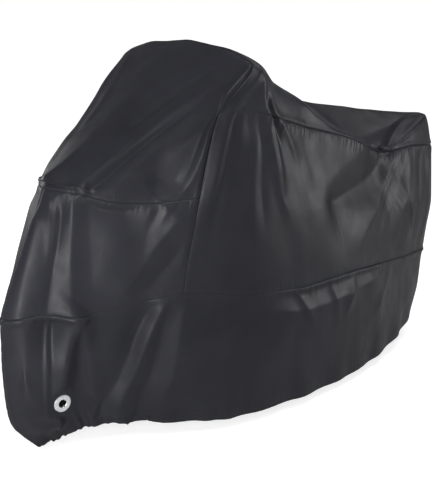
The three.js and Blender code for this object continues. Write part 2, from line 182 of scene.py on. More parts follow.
def places(lengths, cell):
    """Places from 0 to the last, close enough together for cells of that size."""
    steps = np.ceil(lengths / cell).astype(int)
    return np.concatenate([np.arange(n) / n + k for k, n in enumerate(steps)] + [[len(lengths)]])


def columns(start, end, cell):
    side = places(lengths_round, cell)
    ring = np.concatenate([-side[:0:-1], side, RING - side[-2::-1]])
    return ring[(ring > start - 1e-9) & (ring < end + 1e-9)]


def rows(start, end, cell):
    line = places(lengths_down, cell)
    return line[(line > start - 1e-9) & (line < end + 1e-9)]


# Main folds of the whole cover. from, bend and to are places, counted in sections and lines, and
# a fold curves from the first to the last, pulled towards the bend. height is how far a ridge
# stands out, negative for a trough. left and right are how wide it falls off to each side, as
# one looks at it with its start on top, in millimetres. side says which flank it lies on.
FOLD_STEPS = 24
BOTH, LEFT, RIGHT = "both", "left", "right"
FOLDS = [
    # side, from, bend, to, height, left, right
    # The hood is rounded over the handlebar, and drawn tight from its ends to the nose.
    (BOTH, (3.7, 0.55), (4.0, 0.55), (4.3, 0.5), 9, 85, 85),
    (LEFT, (1.30, 2.6), (1.95, 1.08), (3.78, 1.0), -15, 15, 14),
    (RIGHT, (1.2, 1.6), (2.5, 0.85), (4.0, 1.0), 7, 22, 18),
    (LEFT, (1.73, 1.19), (2.92, 0.60), (3.62, 0.82), -3, 9, 18),
    (LEFT, (2.5, 0.62), (3.35, 0.52), (3.85, 0.74), -5, 8, 16),
    (LEFT, (2.9, 0.30), (3.5, 0.40), (3.9, 0.76), -3, 10, 14),
    (RIGHT, (2.4, 0.65), (3.2, 0.6), (3.9, 0.82), 4, 16, 14),
    (LEFT, (3.62, 1.3), (3.8, 2.35), (3.2, 2.97), -26, 50, 70),
    (LEFT, (3.8, 1.3), (4.05, 2.75), (3.35, 3.0), 8, 34, 12),
    (LEFT, (3.66, 1.2), (3.82, 2.2), (3.5, 2.8), -3, 6, 6),
    (LEFT, (3.0, 2.1), (3.07, 2.66), (3.14, 3.04), -4, 18, 22),
    (RIGHT, (3.8, 1.4), (3.2, 2.1), (2.6, 2.8), 11, 32, 24),
    (RIGHT, (3.5, 1.5), (2.9, 2.2), (2.4, 2.9), -6, 18, 18),
    # Creases cross where the hood is pulled down to the nose.
    (LEFT, (0.95, 2.5), (1.2, 2.9), (1.62, 2.97), 4, 7, 7),
    (LEFT, (1.05, 3.12), (1.3, 2.95), (1.6, 2.55), 4, 7, 7),
    (LEFT, (0.8, 2.7), (1.0, 3.0), (1.3, 3.1), -4, 7, 7),
    # A swag hangs under the front seam, and gathers fall from the nose.
    (LEFT, (0.98, 3.04), (2.30, 3.25), (2.9, 3.02), -12, 34, 15),
    (LEFT, (0.13, 3.2), (0.3, 3.46), (0.62, 4.3), 11, 66, 34),
    (LEFT, (0.24, 3.05), (0.64, 3.37), (0.84, 3.6), 3, 5, 5),
    (LEFT, (0.42, 3.05), (0.72, 3.36), (0.98, 3.6), 3, 5, 5),
    (LEFT, (0.57, 3.08), (1.18, 3.5), (1.34, 4.5), -25, 36, 84),
    (LEFT, (0.98, 3.06), (1.44, 3.5), (1.95, 4.4), 14, 58, 25),
    (RIGHT, (0.8, 3.1), (1.0, 3.5), (1.1, 4.2), 8, 26, 26),
    (RIGHT, (1.8, 3.2), (2.0, 3.6), (1.9, 4.4), -9, 32, 32),
    (LEFT, (3.12, 3.03), (3.0, 3.16), (2.8, 3.34), 2, 11, 10),
    (LEFT, (3.3, 3.03), (3.18, 3.2), (2.92, 3.44), -2, 14, 12),
    (LEFT, (3.5, 3.03), (3.36, 3.2), (3.08, 3.4), 1.5, 9, 8),
    (LEFT, (3.62, 3.03), (3.5, 3.16), (3.28, 3.3), -2, 9, 9),
    (LEFT, (3.72, 3.16), (3.2, 3.58), (2.4, 3.92), 8, 48, 28),
    (LEFT, (3.85, 3.45), (3.5, 3.75), (2.9, 3.95), -4, 18, 18),
    (RIGHT, (3.8, 3.0), (3.2, 3.4), (2.8, 4.0), 12, 36, 36),
    # Long folds hang from the handlebar ends beside the upright seam.
    (LEFT, (4.03, 0.98), (3.74, 1.3), (3.86, 1.95), 8, 10, 7),
    (LEFT, (4.1, 1.02), (3.95, 1.3), (3.98, 1.9), -4, 6, 6),
    (BOTH, (3.95, 1.3), (4.06, 2.6), (3.95, 3.85), -8, 15, 12),
    (BOTH, (4.12, 1.02), (4.42, 1.6), (4.15, 3.3), 9, 10, 12),
    (BOTH, (4.28, 1.5), (4.42, 2.4), (4.28, 3.6), -6, 12, 16),
    (LEFT, (3.8, 2.0), (3.92, 2.9), (3.84, 3.85), 5, 10, 8),
    (LEFT, (4.35, 2.0), (4.5, 2.7), (4.4, 3.7), 4, 12, 24),
    (BOTH, (4.15, 1.05), (5.05, 2.0), (5.56, 2.9), 18, 36, 15),
    (LEFT, (4.7, 1.35), (5.3, 2.2), (5.52, 2.45), -8, 9, 8),
    (LEFT, (4.8, 1.4), (5.52, 2.25), (5.9, 2.55), 5, 8, 12),
    (LEFT, (4.85, 2.05), (5.32, 2.6), (5.75, 3.3), 6, 13, 22),
    (LEFT, (4.7, 1.95), (5.0, 2.5), (5.2, 3.4), -4, 14, 12),
    (LEFT, (4.75, 2.2), (4.95, 2.9), (4.95, 3.9), 8, 40, 60),
    (RIGHT, (4.5, 1.6), (4.6, 2.3), (4.6, 3.6), 9, 26, 26),
    # The cloth sags across the seat, below a taut rim that runs into the seam and up to the tail.
    (LEFT, (5.6, 1.1), (6.79, 2.14), (7.67, 1.84), 10, 24, 12),
    (LEFT, (7.5, 1.88), (8.17, 0.45), (10.11, 0.29), 10, 11, 13),
    (LEFT, (6.3, 0.95), (7.6, 1.7), (8.6, 0.8), -9, 40, 40),
    (LEFT, (8.4, 1.8), (9.2, 1.5), (9.9, 0.9), -4, 14, 14),
    # The rear flank is drawn from the handlebar end and from the tail corner, with a hollow
    # between them under the dip of the seat.
    (LEFT, (5.85, 2.08), (6.29, 2.49), (6.4, 3.0), -4, 50, 44),
    (LEFT, (6.42, 2.92), (7.45, 2.78), (8.05, 2.2), -23, 104, 44),
    (LEFT, (6.5, 2.95), (7.5, 2.8), (8.5, 1.9), -15, 124, 50),
    (LEFT, (6.5, 2.0), (7.4, 2.05), (7.95, 2.0), 12, 60, 20),
    (LEFT, (8.5, 2.12), (8.0, 2.55), (7.3, 3.8), 10, 60, 16),
    (RIGHT, (5.6, 2.1), (6.6, 2.9), (7.6, 3.7), 12, 46, 46),
    (RIGHT, (9.3, 2.2), (8.4, 2.7), (7.2, 3.3), 13, 50, 50),
    (RIGHT, (7.6, 2.06), (7.5, 2.4), (7.1, 2.8), -10, 46, 46),
    # Narrow folds fan down from the tail corner.
    (LEFT, (8.66, 2.1), (8.07, 2.7), (7.6, 3.7), 3.5, 14, 14),
    (LEFT, (8.8, 2.12), (8.45, 2.6), (8.2, 3.8), -2, 16, 16),
    (BOTH, (8.95, 2.08), (8.7, 2.9), (8.5, 3.85), 3, 18, 16),
    (BOTH, (9.21, 2.08), (8.98, 2.75), (8.95, 3.9), 3, 20, 16),
    (BOTH, (9.42, 2.08), (9.2, 2.82), (9.3, 3.9), -5, 14, 16),
    (BOTH, (9.75, 2.1), (9.6, 2.8), (9.75, 3.9), 5, 18, 16),
    (BOTH, (10.2, 2.1), (10.1, 3.0), (10.1, 3.9), -4, 16, 16),
    # Skirt: long slanting folds behind the wheel, upright ones over it, soft ones to the back.
    (LEFT, (0.76, 3.96), (0.70, 4.28), (0.5, 5.1), 8, 60, 18),
    (LEFT, (1.16, 4.0), (1.14, 4.37), (0.95, 5.3), -14, 26, 30),
    (LEFT, (1.31, 3.97), (1.36, 4.36), (1.2, 5.15), -12, 6, 40),
    (LEFT, (1.22, 5.6), (1.44, 4.28), (2.04, 3.94), 26, 24, 46),
    (LEFT, (0.26, 4.7), (0.62, 4.66), (0.88, 5.02), -3, 10, 10),
    (LEFT, (1.86, 4.15), (1.87, 4.35), (2.35, 5.4), -11, 24, 12),
    (LEFT, (1.97, 4.12), (2.02, 4.37), (2.46, 5.4), 10, 12, 22),
    (LEFT, (3.5, 4.02), (2.78, 4.48), (2.1, 6.1), -15, 30, 26),
    (LEFT, (3.75, 4.02), (3.12, 4.42), (2.36, 6.2), 15, 26, 24),
    (LEFT, (3.75, 4.1), (3.36, 4.51), (2.9, 6.3), -10, 24, 34),
    (LEFT, (4.1, 4.05), (3.60, 4.60), (3.25, 6.3), 12, 36, 44),
    (LEFT, (2.42, 5.3), (2.26, 5.5), (2.05, 5.85), 6, 8, 8),
    (LEFT, (3.1, 5.42), (3.0, 5.65), (2.87, 5.85), 4, 7, 7),
    (LEFT, (5.8, 4.02), (6.14, 4.3), (6.35, 4.7), 5, 14, 14),
    (LEFT, (6.6, 4.03), (6.68, 4.35), (6.8, 4.8), 4, 14, 14),
    (LEFT, (7.25, 4.03), (7.15, 4.35), (6.8, 4.7), 6, 16, 16),
    (LEFT, (8.5, 4.02), (8.3, 4.5), (7.7, 4.9), 7, 16, 60),
    (LEFT, (0.2, 4.72), (0.8, 4.84), (1.45, 4.7), 12, 50, 130),
    (LEFT, (5.2, 4.25), (6.7, 4.47), (8.6, 4.14), 19, 100, 26),
    (RIGHT, (3.4, 4.2), (2.9, 5.0), (2.2, 5.9), 11, 22, 22),
    (RIGHT, (4.6, 4.4), (4.2, 5.2), (3.6, 5.9), -8, 26, 26),
    (RIGHT, (1.9, 4.06), (1.5, 4.5), (1.15, 5.2), 8, 20, 14),
    (RIGHT, (7.2, 4.2), (7.6, 4.8), (7.9, 5.8), 7, 46, 46),
]


def fold_lines(folds):
    """Each fold's route, the sign of y of the flank it lies on, its height and its widths."""
    share = np.linspace(0, 1, FOLD_STEPS + 1)[:, None]
    for side, start, bend, end, height, left, right in folds:
        route = ((1 - share) ** 2 * start + 2 * share * (1 - share) * np.array(bend)
                 + share ** 2 * end)
        if side != RIGHT:
            yield drape(route[:, 0], route[:, 1]), 1, height * MM, left * MM, right * MM
        if side != LEFT:
            yield drape(RING - route[:, 0], route[:, 1]), -1, height * MM, right * MM, left * MM


FOLD_REACH = 2.4                 # a fold has died away at this many widths from its crest
FOLD_CURVE = 1.6                 # 1 would make its sides quite flat
FOLD_SPREAD = (0.75, 1.35)       # its width at its start and end, in shares of its own
CREST_RADIUS = (3 * MM, 360 * MM)   # the least, and what a width squared is divided by for it
RISE_LENGTH = (80 * MM, 90 * MM)     # how far it takes to rise at its start and fade at its end
RISE_SHARE = ((0.2, 0.45), (0.22, 0.55))   # the least and most of its length for each
FOLD_OVERLAP = 40 * MM           # how far a fold of one flank reaches over onto the other


def fold_height(points, normals, folds):
    height = np.zeros(len(points))
    for route, flank, tall, left, right in fold_lines(folds):
        margin = FOLD_REACH * FOLD_SPREAD[1] * max(left, right)
        near = ((points > route.min(0) - margin) & (points < route.max(0) + margin)).all(1)
        spots, up = points[near], normals[near]
        best = np.full(len(spots), np.inf)
        along = np.zeros(len(spots))
        hand = np.zeros(len(spots))
        for k in range(FOLD_STEPS):
            step = route[k + 1] - route[k]
            share = np.clip((spots - route[k]) @ step / (step @ step), 0, 1)
            away = spots - route[k] - share[:, None] * step
            distance = np.linalg.norm(away, axis=1)
            closer = distance < best
            best = np.where(closer, distance, best)
            along = np.where(closer, (k + share) / FOLD_STEPS, along)
            sideways = np.einsum("ij,ij->i", np.cross(up, step), away) / np.linalg.norm(step)
            hand = np.where(closer, sideways, hand)
        share = 0.5 + 0.5 * np.clip(hand / np.maximum(best, 1e-9), -1, 1)
        spread = FOLD_SPREAD[0] + (FOLD_SPREAD[1] - FOLD_SPREAD[0]) * along
        width = (left + (right - left) * smooth(share, 0, 1)) * spread
        length = np.linalg.norm(np.diff(route, axis=0), axis=1).sum()
        rise, fade = (np.clip(RISE_LENGTH[k] / length, *RISE_SHARE[k]) for k in (0, 1))
        ends = smooth(along, -0.02, rise) * smooth(1 - along, -0.02, fade)
        crest = np.maximum(CREST_RADIUS[0], width ** 2 / CREST_RADIUS[1])
        fall = (np.hypot(best, crest) - crest) / width
        ends *= smooth(flank * spots[:, 1], -FOLD_OVERLAP, 0)
        height[near] += tall * ends * np.clip(1 - fall / FOLD_REACH, 0, 1) ** FOLD_CURVE
    return height


# The elastic draws the hem in, in small waves, so that the lower edge is never quite straight.
HEM_WAVE = 3 * MM
HEM_WAVE_COUNTS = (1.5, 1.16)    # waves to a section, of the main wave and of one half as high


def hem_wave(ring, line):
    main, lesser = (np.sin(2 * np.pi * count * ring) for count in HEM_WAVE_COUNTS)
    return HEM_WAVE * smooth(line, LOW, HEM) * (main + 0.5 * lesser)


# Slack in the cloth: soft undulations, longer down the cover than round it.
RIPPLE_HEIGHT = 0.45 * MM
RIPPLE_COUNT = 16
chance = np.random.default_rng(11)
ripple_ways = unit(chance.uniform(-1, 1, (RIPPLE_COUNT, 3)) * (1, 1, 0.35))
ripple_lengths = chance.uniform(0.07, 0.26, RIPPLE_COUNT)
ripple_starts = chance.uniform(0, 2 * np.pi, RIPPLE_COUNT)


def ripple(points):
    waves = np.sin(points @ ripple_ways.T * 2 * np.pi / ripple_lengths + ripple_starts)
    return RIPPLE_HEIGHT * (waves * ripple_lengths / ripple_lengths.mean()).sum(1) / 2


def gathers(along, away, pitch, depth, reach):
    """Uneven puckers beside a seam or an elastic, that die away within their reach."""
    turn = 2 * np.pi * along / pitch
    phase = turn + 1.3 * np.sin(turn / 3.7 + 1) + 0.8 * np.sin(turn / 1.7 + 4)
    uneven = 0.6 + 0.4 * np.sin(turn / 5.3 + 2) * np.sin(turn / 2.9)
    return depth * uneven * np.sin(phase) * np.exp(-(away / reach) ** 2)


# A lock goes through an eyelet low on each side, and the cloth round it lies flat.
EYELET_PLACE = (1.5, 4.9)
EYELET_FLAT = (26 * MM, 60 * MM)


def eyelet_seat(is_right):
    """The middle of an eyelet on the cloth, and the way out of the cloth there."""
    ring = RING - EYELET_PLACE[0] if is_right else EYELET_PLACE[0]
    nudge = np.array([0.1, -0.1, 0.0, 0.0, 0.0])
    round_it = drape(ring + nudge, np.full(5, EYELET_PLACE[1]))
    down = drape(np.full(5, ring), EYELET_PLACE[1] + nudge)
    way = unit(np.cross(down[0] - down[1], round_it[0] - round_it[1]))
    return round_it[2], way


eyelet_seats = {LEFT: eyelet_seat(False), RIGHT: eyelet_seat(True)}

# Rows and columns are set close to each seam, so that its edges can be rolled in crisply.
SEAM_OFFSETS = (1.5 * MM, 4 * MM)
NO_SEAM = 1.0                    # how far a panel's top seam lies from it, where it has none


class Panel:
    """One cut panel, laid on the drape as a grid of columns round it and rows down it."""

    def __init__(self, ring_span, line_span, coarse=1):
        ring = columns(*ring_span, cell=CELL_ROUND * coarse)
        line = rows(*line_span, cell=CELL_DOWN * coarse)
        self.over_crest = line_span[0] == CREST
        for offset in SEAM_OFFSETS:
            step = offset / lengths_round.mean()
            ring = np.append(ring, (ring_span[0] + step, ring_span[1] - step))
            step = offset / lengths_down.mean()
            line = np.append(line, line_span[1] - step)
            if not self.over_crest:
                line = np.append(line, line_span[0] + step)
        grid_ring, grid_line = np.meshgrid(np.sort(ring), np.sort(line), indexing="ij")
        grid = drape(grid_ring, grid_line)
        lengths = [np.linalg.norm(np.diff(grid, axis=axis), axis=2) for axis in (0, 1)]
        along = np.pad(np.cumsum(lengths[0], 0), ((1, 0), (0, 0)))
        down = np.pad(np.cumsum(lengths[1], 1), ((0, 0), (1, 0)))

        count, depth = grid_ring.shape
        self.shape = (count, depth)
        ids = np.arange(count * depth).reshape(count, depth)
        if self.over_crest:
            ids[:, 0] = np.minimum(ids[:, 0], ids[::-1, 0])
        kept, shared = np.unique(ids, return_inverse=True)
        cells = np.arange(count * depth).reshape(count, depth)
        self.corners = np.stack([cells[:-1, :-1], cells[:-1, 1:], cells[1:, 1:], cells[1:, :-1]],
                                -1).reshape(-1, 4)
        self.faces = shared.ravel()[self.corners]
        middle_row = np.broadcast_to(along[:, [depth // 2]], down.shape)
        self.fabric = np.stack([middle_row, down], -1).reshape(-1, 2)
        self.points = grid.reshape(-1, 3)[kept]
        self.ring, self.line = grid_ring.ravel()[kept], grid_line.ravel()[kept]
        self.up = outward(self.ring, self.line)
        self.along, self.down = self.fabric[kept].T
        self.from_top = self.down + (NO_SEAM if self.over_crest else 0.0)
        self.from_bottom = (down[:, -1:] - down).ravel()[kept]
        self.from_side = np.minimum(along, along[-1:] - along).ravel()[kept]

    def raise_by(self, height):
        self.points = self.points + self.up * height[:, None]

    def turn_up(self):
        """Finds the way out of the cloth as the panel now lies."""
        a, b, c, d = (self.points[self.faces[:, k]] for k in range(4))
        ways = np.cross(c - a, d - b)
        self.up = np.zeros_like(self.points)
        for k in range(4):
            np.add.at(self.up, self.faces[:, k], ways)
        self.up = unit(self.up)

    def hang(self):
        """Presses the main folds, the hem's waves and the flat beds of the eyelets."""
        folds = fold_height(self.points, self.up, FOLDS)
        self.raise_by(folds + hem_wave(self.ring, self.line) + ripple(self.points))
        for middle, way in eyelet_seats.values():
            away = np.linalg.norm(self.points - middle, axis=1)
            off_plane = (self.points - middle) @ way * (1 - smooth(away, *EYELET_FLAT))
            self.points = self.points - off_plane[:, None] * way
        self.turn_up()

    def add_rows(self, added):
        """Carries the panel on below its lower edge, by rows of points."""
        count, depth = self.shape
        more = added.shape[1]
        grid = np.concatenate([self.points.reshape(count, depth, 3), added], 1)
        fabric = self.fabric.reshape(count, depth, 2)
        steps = np.cumsum(np.linalg.norm(np.diff(grid[:, depth - 1:], axis=1), axis=2), 1)
        tail = np.stack([np.repeat(fabric[:, -1:, 0], more, 1), fabric[:, -1:, 1] + steps], -1)
        self.fabric = np.concatenate([fabric, tail], 1).reshape(-1, 2)
        self.points = grid.reshape(-1, 3)
        for label in ("from_top", "from_bottom", "from_side"):
            values = getattr(self, label).reshape(count, depth)
            setattr(self, label, np.concatenate([values, values[:, -1:] + steps], 1).ravel())
        self.shape = (count, depth + more)
        cells = np.arange(count * (depth + more)).reshape(self.shape)
        self.corners = self.faces = np.stack(
            [cells[:-1, :-1], cells[:-1, 1:], cells[1:, 1:], cells[1:, :-1]], -1).reshape(-1, 4)


# Every seam is turned in along its edges. Beside it the cloth swells a little, and puckers.
ROLL_DEPTH = 1.6 * MM
ROLL_WIDTH = 1.8 * MM


def seam_edge(away, along, swell, swell_at, pucker=0.0, pitch=20, reach=30, share=1.0, roll=1.0):
    """Heights beside one seam: its swell, how far that lies from it, and its puckers, in mm."""
    away_mm = away / MM
    turned_in = -ROLL_DEPTH * roll * np.exp(-(away / ROLL_WIDTH) ** 2)
    part_way = away_mm / swell_at
    swelling = swell * MM * part_way * np.exp((1 - part_way ** 2) / 2)
    puckers = gathers(along, away, pitch * MM, pucker * MM, reach * MM)
    beside = swelling + puckers * smooth(away_mm, 1, 8)
    return turned_in + share * beside


CLOTH_THICKNESS = 0.7 * MM


def sheet_of(panel, name, opening=None):
    """The laid panel as a sheet of cloth with its own thickness, and its fabric's map."""
    kept = np.ones(len(panel.faces), bool)
    if opening is not None:
        kept = ~opening(panel.points[panel.faces].mean(1))
    mesh = bpy.data.meshes.new(name)
    mesh.from_pydata(panel.points.tolist(), [], panel.faces[kept].tolist())
    mesh.polygons.foreach_set("use_smooth", np.ones(len(mesh.polygons), bool))
    fabric = mesh.uv_layers.new(name="fabric")
    fabric.data.foreach_set("uv", panel.fabric[panel.corners[kept]].ravel())
    for label, values in (("from_seam", np.minimum(panel.from_top, panel.from_bottom)),
                          ("from_upright_seam", panel.from_side)):
        mesh.attributes.new(label, "FLOAT", "POINT").data.foreach_set("value", values)
    mesh.validate()
    sheet = bpy.data.objects.new(name, mesh)
    bpy.context.collection.objects.link(sheet)
    for loose in bpy.context.selected_objects:
        loose.select_set(False)
    bpy.context.view_layer.objects.active = sheet
    sheet.select_set(True)
    wall = sheet.modifiers.new("wall", "SOLIDIFY")
    wall.thickness = CLOTH_THICKNESS
    wall.offset = 0
    bpy.ops.object.modifier_apply(modifier=wall.name)
    return sheet


# Coated polyester: a dark charcoal plain weave under a smooth waterproof film, softly glossy.
CLOTH_DARK = (0.0148, 0.0151, 0.0190, 1)
CLOTH_LIGHT = (0.0225, 0.0229, 0.0287, 1)
THREAD_COLOUR = (0.030, 0.031, 0.037, 1)
CLOTH_GLOSS = (0.33, 0.45)       # roughness, from the smoothest film to the dullest
THREAD_DULLER = 0.2              # how much rougher the bare thread of a stitch is
CLOTH_SHINE = (0.14, 0.015)      # specular level, seen squarely and edge-on
EDGE_ON = (0.4, 0.95)            # how far turned away each of those holds, 1 being edge-on
MIDDLE_GREYS = (0.3, 0.7)        # the part of a noise that nearly all its values lie in
WEAVE_PITCH = 0.7 * MM
STITCH_PITCH = 3.6 * MM
STITCH_ROWS = (5 * MM, 11 * MM)  # two rows of stitching beside each seam
STITCH_WIDTH = 0.7 * MM
STITCH_ENDS = (-0.6, -0.2)       # where a dash begins and is full, on the wave along its row
# Noises over the cloth: how fine, how much detail, and how strong that detail is
CRUMPLE = (55, 4, 0.55)
FINE_CRUMPLE = (210, 2, 0.5)
SHADE = (4.5, 5, 0.6)
WEAR = (17, 4, 0.6)
# Reliefs in the surface: their strength and their height
WEAVE_RELIEF = (0.12, 0.1 * MM)
CRUMPLE_RELIEF = (0.16, 2.5 * MM)
FINE_CRUMPLE_RELIEF = (0.12, 0.6 * MM)
STITCH_RELIEF = (0.7, 0.5 * MM)


class Nodes:
    """The node tree of one material, with short ways to add and join nodes."""

    def __init__(self, name):
        self.material = bpy.data.materials.new(name)
        self.material.use_nodes = True
        self.tree = self.material.node_tree
        self.shader = self.tree.nodes["Principled BSDF"]

    def add(self, kind, inputs=(), **settings):
        node = self.tree.nodes.new("ShaderNode" + kind)
        for key, value in settings.items():
            setattr(node, key, value)
        for socket, value in dict(inputs).items():
            self.join(value, node.inputs[socket])
        return node

    def join(self, value, socket):
        if isinstance(value, bpy.types.Node):
            value = next(out for out in value.outputs if out.enabled)
        if isinstance(value, bpy.types.NodeSocket):
            self.tree.links.new(value, socket)
        else:
            socket.default_value = value

    def math(self, operation, *values):
        return self.add("Math", dict(enumerate(values)), operation=operation).outputs[0]

    def map(self, value, low, high, to_low, to_high):
        inputs = {"Value": value, "From Min": low, "From Max": high,
                  "To Min": to_low, "To Max": to_high}
        return self.add("MapRange", inputs).outputs["Result"]

    def blend(self, share, first, second):
        inputs = {"Fac": share, "Color1": first, "Color2": second}
        return self.add("MixRGB", inputs).outputs[0]

    def bump(self, height, strength, distance, under=None):
        inputs = {"Height": height, "Strength": strength, "Distance": distance}
        if under is not None:
            inputs["Normal"] = under
        return self.add("Bump", inputs).outputs[0]

    def noise(self, vector, scale, detail, roughness):
        inputs = {"Vector": vector, "Scale": scale, "Detail": detail, "Roughness": roughness}
        return self.add("TexNoise", inputs).outputs[0]


def coated_cloth():
    cloth = Nodes("coated_cloth")
    place = cloth.add("TexCoord").outputs["Object"]
    fabric = cloth.add("SeparateXYZ", {"Vector": cloth.add("UVMap", uv_map="fabric")})
    across, down = fabric.outputs["X"], fabric.outputs["Y"]

    # Warp and weft, as two crossed sets of rounded threads.
    warp = cloth.math("SINE", cloth.math("MULTIPLY", across, 2 * np.pi / WEAVE_PITCH))
    weft = cloth.math("SINE", cloth.math("MULTIPLY", down, 2 * np.pi / WEAVE_PITCH))
    weave = cloth.math("MULTIPLY", warp, weft)

    # Stitches: short dashes of thread, in rows beside each seam.
    stitches = 0.0
    for seam, run in (("from_seam", across), ("from_upright_seam", down)):
        away = cloth.add("Attribute", attribute_name=seam).outputs["Fac"]
        dash = cloth.math("SINE", cloth.math("MULTIPLY", run, 2 * np.pi / STITCH_PITCH))
        dash = cloth.map(dash, *STITCH_ENDS, 0, 1)
        for row in STITCH_ROWS:
            off_row = cloth.math("ABSOLUTE", cloth.math("SUBTRACT", away, row))
            thread = cloth.map(off_row, 0.3 * STITCH_WIDTH, 0.7 * STITCH_WIDTH, 1, 0)
            stitches = cloth.math("MAXIMUM", stitches, cloth.math("MULTIPLY", thread, dash))

    # Handling leaves a fine crumple in the film, and some parts duller than others.
    shade = cloth.noise(place, *SHADE)
    wear = cloth.noise(place, *WEAR)
    body = cloth.blend(cloth.map(shade, *MIDDLE_GREYS, 0, 1), CLOTH_DARK, CLOTH_LIGHT)
    body = cloth.blend(stitches, body, THREAD_COLOUR)
    cloth.join(body, cloth.shader.inputs["Base Color"])
    gloss = cloth.map(wear, *MIDDLE_GREYS, *CLOTH_GLOSS)
    gloss = cloth.math("ADD", gloss, cloth.math("MULTIPLY", stitches, THREAD_DULLER))
    cloth.join(gloss, cloth.shader.inputs["Roughness"])
    bump = cloth.bump(weave, *WEAVE_RELIEF)
    bump = cloth.bump(cloth.noise(place, *CRUMPLE), *CRUMPLE_RELIEF, bump)
    bump = cloth.bump(cloth.noise(place, *FINE_CRUMPLE), *FINE_CRUMPLE_RELIEF, bump)
    bump = cloth.bump(stitches, *STITCH_RELIEF, bump)
    cloth.join(bump, cloth.shader.inputs["Normal"])

    # The weave hides its own shine where it is seen edge-on.
    edge_on = cloth.add("LayerWeight", {"Blend": 0.5}).outputs["Facing"]
    cloth.join(cloth.map(edge_on, *EDGE_ON, *CLOTH_SHINE),
               cloth.shader.inputs["Specular IOR Level"])
    return cloth.material


cloth_finish = coated_cloth()


def hand_over(sheet, node):
    """Gives the sheet its finish, and puts it in the place of its CAD node."""
    sheet.data.materials.append(cloth_finish)
    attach(sheet, "root")
    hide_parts(node)


hood = Panel((-HANDLEBAR, HANDLEBAR), (CREST, WAIST))
hood.hang()
hood.raise_by(seam_edge(hood.from_bottom, hood.along, 1.2, 7, pucker=0.5, pitch=24, reach=24,
                        roll=0.4)
              + seam_edge(hood.from_side, hood.down, 1, 9, pucker=0.5, pitch=40, roll=0.2))
hand_over(sheet_of(hood, "cover_front_hood"), "front_hood")

# ---------------------------------------------------------------------------
# Fairing panels. Two pieces of the same cloth, one on each side of the nose, hang from the front
# seam down to the mid seam. They meet in the front middle, and join the rear panels beside the
# handlebar. The front seam gathers them, so they pucker below it.

for side, ring_span in ((LEFT, (0, HANDLEBAR)), (RIGHT, (RING - HANDLEBAR, RING))):
    fairing = Panel(ring_span, (WAIST, MID))
    fairing.hang()
    fairing.raise_by(seam_edge(fairing.from_top, fairing.along, 1, 12, pucker=0.7, pitch=23,
                               reach=24, roll=0.6)
                     + seam_edge(fairing.from_bottom, fairing.along, 0.6, 14, pucker=0.4,
                                 pitch=26, roll=0.1)
                     + seam_edge(fairing.from_side, fairing.down, 1, 9, pucker=0.5, pitch=40,
                                 roll=0.2))
    hand_over(sheet_of(fairing, "cover_fairing_" + side), "front_side_" + side)

# ---------------------------------------------------------------------------
# Rear top. One long panel lies over the tank, the seat and the tail, and is sewn to the rear
# sides along a seam on each flank. It dips in a hollow over the seat.

REAR_TOP_COARSE = 1.12           # its cells are larger by this much
# Beside the handlebar the cloth is drawn tight and the seam lies flat. It comes out in full
# between these places.
SEAM_SHOWS = (4.4, 5.2)

rear_top = Panel((HANDLEBAR, RING - HANDLEBAR), (CREST, UPPER), coarse=REAR_TOP_COARSE)
rear_top.hang()
from_handlebar = smooth(np.minimum(rear_top.ring, RING - rear_top.ring), *SEAM_SHOWS)
rear_top.raise_by(seam_edge(rear_top.from_bottom, rear_top.along, 2.2, 8, pucker=0.6, pitch=24,
                            share=from_handlebar, roll=from_handlebar)
                  + seam_edge(rear_top.from_side, rear_top.down, 2.5, 9))
hand_over(sheet_of(rear_top, "cover_rear_top"), "rear_top")

# ---------------------------------------------------------------------------
# Rear sides. The two large side panels hang from the rear top seam to the mid seam, and meet in
# the back middle. The top seam gathers them, so short puckers fall from it.

for side, ring_span in ((LEFT, (HANDLEBAR, LAST)), (RIGHT, (LAST, RING - HANDLEBAR))):
    flank = Panel(ring_span, (UPPER, MID))
    flank.hang()
    from_handlebar = smooth(np.minimum(flank.ring, RING - flank.ring), *SEAM_SHOWS)
    flank.raise_by(seam_edge(flank.from_top, flank.along, 1.2, 18, pucker=2.4, pitch=23, reach=26,
                             share=from_handlebar, roll=from_handlebar)
                   + seam_edge(flank.from_bottom, flank.along, 0.6, 14, pucker=0.5, pitch=26,
                               roll=0.1)
                   + seam_edge(flank.from_side, flank.down, 1, 9, pucker=0.5, pitch=40, roll=0.3))
    hand_over(sheet_of(flank, "cover_rear_side_" + side), "rear_side_" + side)

# ---------------------------------------------------------------------------
# Skirts. Two long bands run from the mid seam to the hem, one on each side, and meet at the front
# and at the back. The seam's fold stands out as a ledge above them. Elastic in the folded hem
# gathers their lower edge, most of all under the nose.

HEM_TUBE = 4.5 * MM              # radius of the rolled hem with its elastic
HEM_TURN_STEPS = 6
HEM_DEPTH = 24 * MM              # from the edge up to its row of stitching
HEM_INNER = (10 * MM, 22 * MM)   # heights of the turned-up inner edge


def roll_hem(skirt):
    """Carries the skirt's lower edge round its elastic, and up again inside."""
    count, depth = skirt.shape
    grid = skirt.points.reshape(count, depth, 3)
    edge = grid[:, -1]
    down = unit(edge - grid[:, -2])
    out = skirt.up.reshape(count, depth, 3)[:, -1]
    middle = edge - HEM_TUBE * out
    added = [middle + HEM_TUBE * (np.cos(turn) * out + np.sin(turn) * down)
             for turn in np.linspace(0, np.pi, HEM_TURN_STEPS + 1)[1:]]
    added += [added[-1] - height * down for height in HEM_INNER]
    skirt.add_rows(np.stack(added, 1))


# The elastic's gathers, fine ones and broad ones between them: how far along the hem they are
# shifted, their pitch, depth and reach
HEM_GATHERS = ((0.0, 34 * MM, 4 * MM, 50 * MM), (0.3, 71 * MM, 3 * MM, 90 * MM))
EYELET_OPENING = 19 * MM         # radius of the hole cut in the cloth for an eyelet

